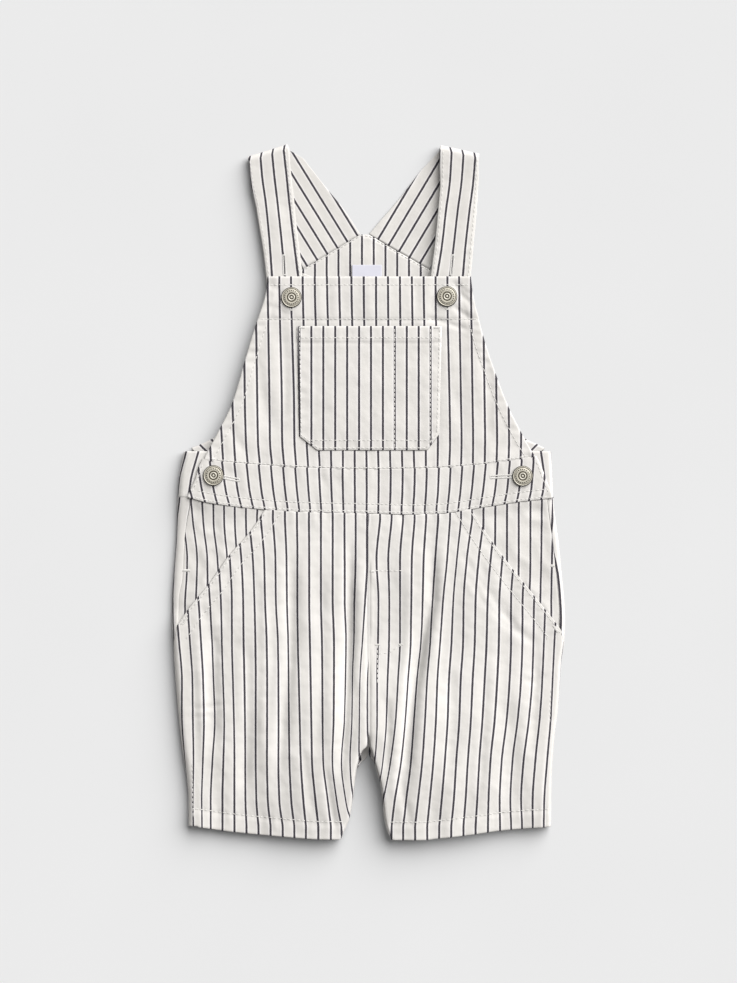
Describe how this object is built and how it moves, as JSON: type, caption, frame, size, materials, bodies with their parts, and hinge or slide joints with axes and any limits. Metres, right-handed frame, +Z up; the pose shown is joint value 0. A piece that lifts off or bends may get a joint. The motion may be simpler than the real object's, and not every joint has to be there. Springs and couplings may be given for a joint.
{
  "type": "baby shortalls",
  "caption": "Baby bib shortalls in striped cotton twill, laid flat face up, with crossed-back straps, a bib pocket, slant pockets and metal tack buttons.",
  "frame": {"origin": "middle of the laid-out garment's footprint, on the surface that it lies on", "axes": "+X to the right and +Y towards the shoulders as seen from above, +Z up off the surface; the front faces up"},
  "size_m": [0.2759, 0.4878, 0.0132],
  "materials": {
    "striped_twill": "matt cream cotton twill with thin navy woven stripes",
    "sewing_thread": "off-white cotton-wrapped topstitching thread",
    "label_satin": "plain white satin ribbon, blank",
    "button_metal": "antique pewter, pressed rings with darker recesses"
  },
  "bodies": {
    "root": {"front_leg_left": "striped_twill", "front_leg_right": "striped_twill", "back_leg_left": "striped_twill", "back_leg_right": "striped_twill", "pocket_facing_left": "striped_twill", "pocket_facing_right": "striped_twill", "waistband_front": "striped_twill", "waistband_back": "striped_twill", "bib_front": "striped_twill", "bib_pocket": "striped_twill", "back_bodice": "striped_twill", "armhole_facing_left": "striped_twill", "armhole_facing_right": "striped_twill", "strap_left": "striped_twill", "strap_right": "striped_twill", "label": "label_satin", "button_bib_left": "button_metal", "button_bib_right": "button_metal", "button_waist_left": "button_metal", "button_waist_right": "button_metal"}
  },
  "joints": []
}
